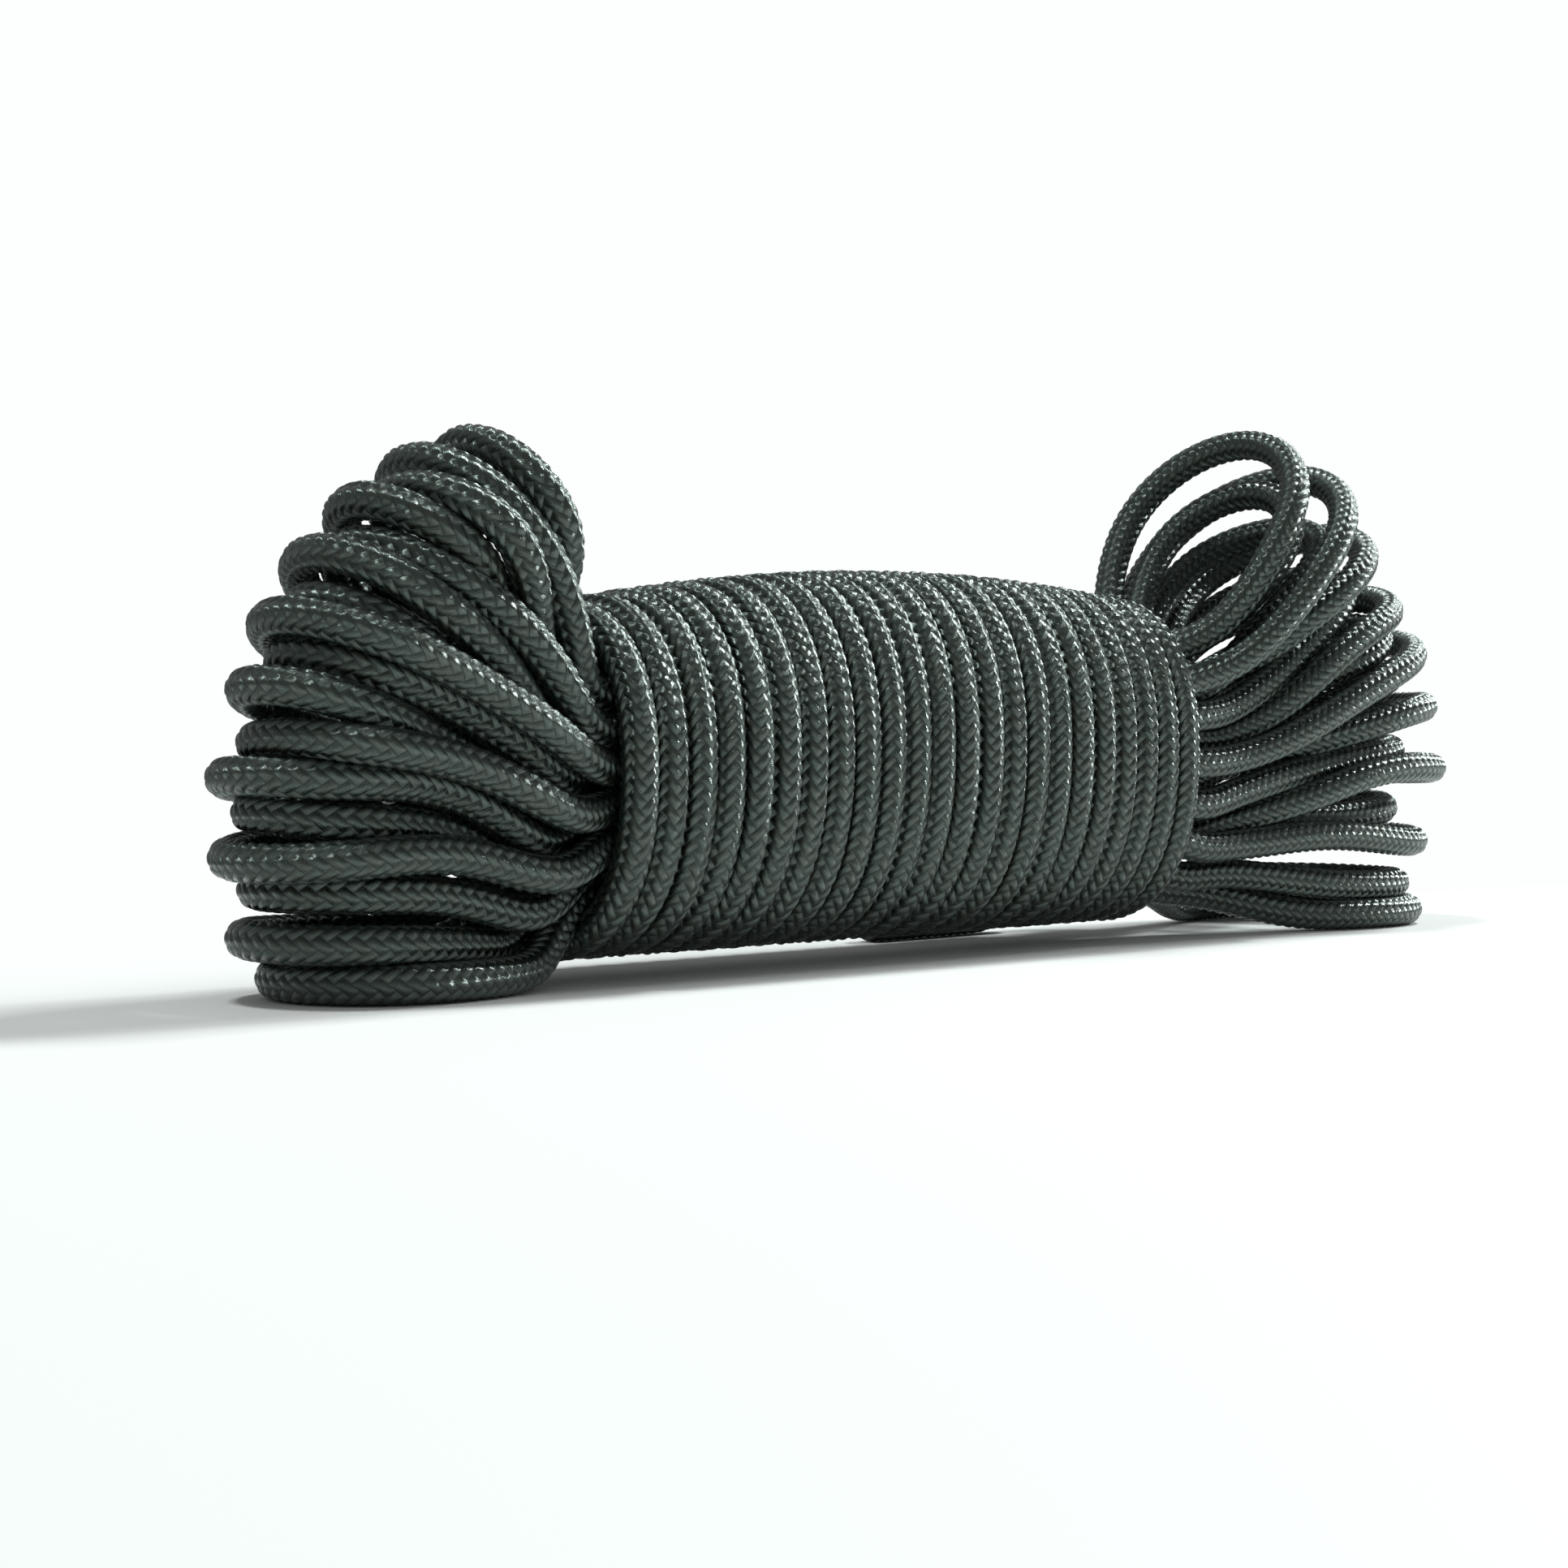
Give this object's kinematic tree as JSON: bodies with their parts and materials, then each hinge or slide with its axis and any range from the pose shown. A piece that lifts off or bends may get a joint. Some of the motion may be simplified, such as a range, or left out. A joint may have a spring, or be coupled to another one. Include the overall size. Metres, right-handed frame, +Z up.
{
  "type": "climbing rope hank",
  "caption": "Hank of black braided kernmantle rope: long loops fanned out at both ends, with the waist wound tightly in its own cord.",
  "frame": {"origin": "centre of the hank's footprint, on the surface that it lies on", "axes": "+X along the hank, from the shorter fan of bights to the taller one; +Y across it, towards the side where the winding starts and ends; +Z up"},
  "size_m": [0.4104, 0.0752, 0.1389],
  "materials": {
    "sheath": "glossy multifilament braid, near black",
    "core": "undyed white fibre strands, matt",
    "seal": "sheath and core melted together, smooth and glossy black"
  },
  "bodies": {
    "root": {"hank_loops": "sheath", "waist_winding": "sheath", "winding_lead": "sheath", "tail_cord": "sheath", "tail_sheath": "sheath", "tail_core": "core", "tail_seal": "seal", "start_cord": "sheath", "start_sheath": "sheath", "start_core": "core", "start_seal": "seal"}
  },
  "joints": []
}
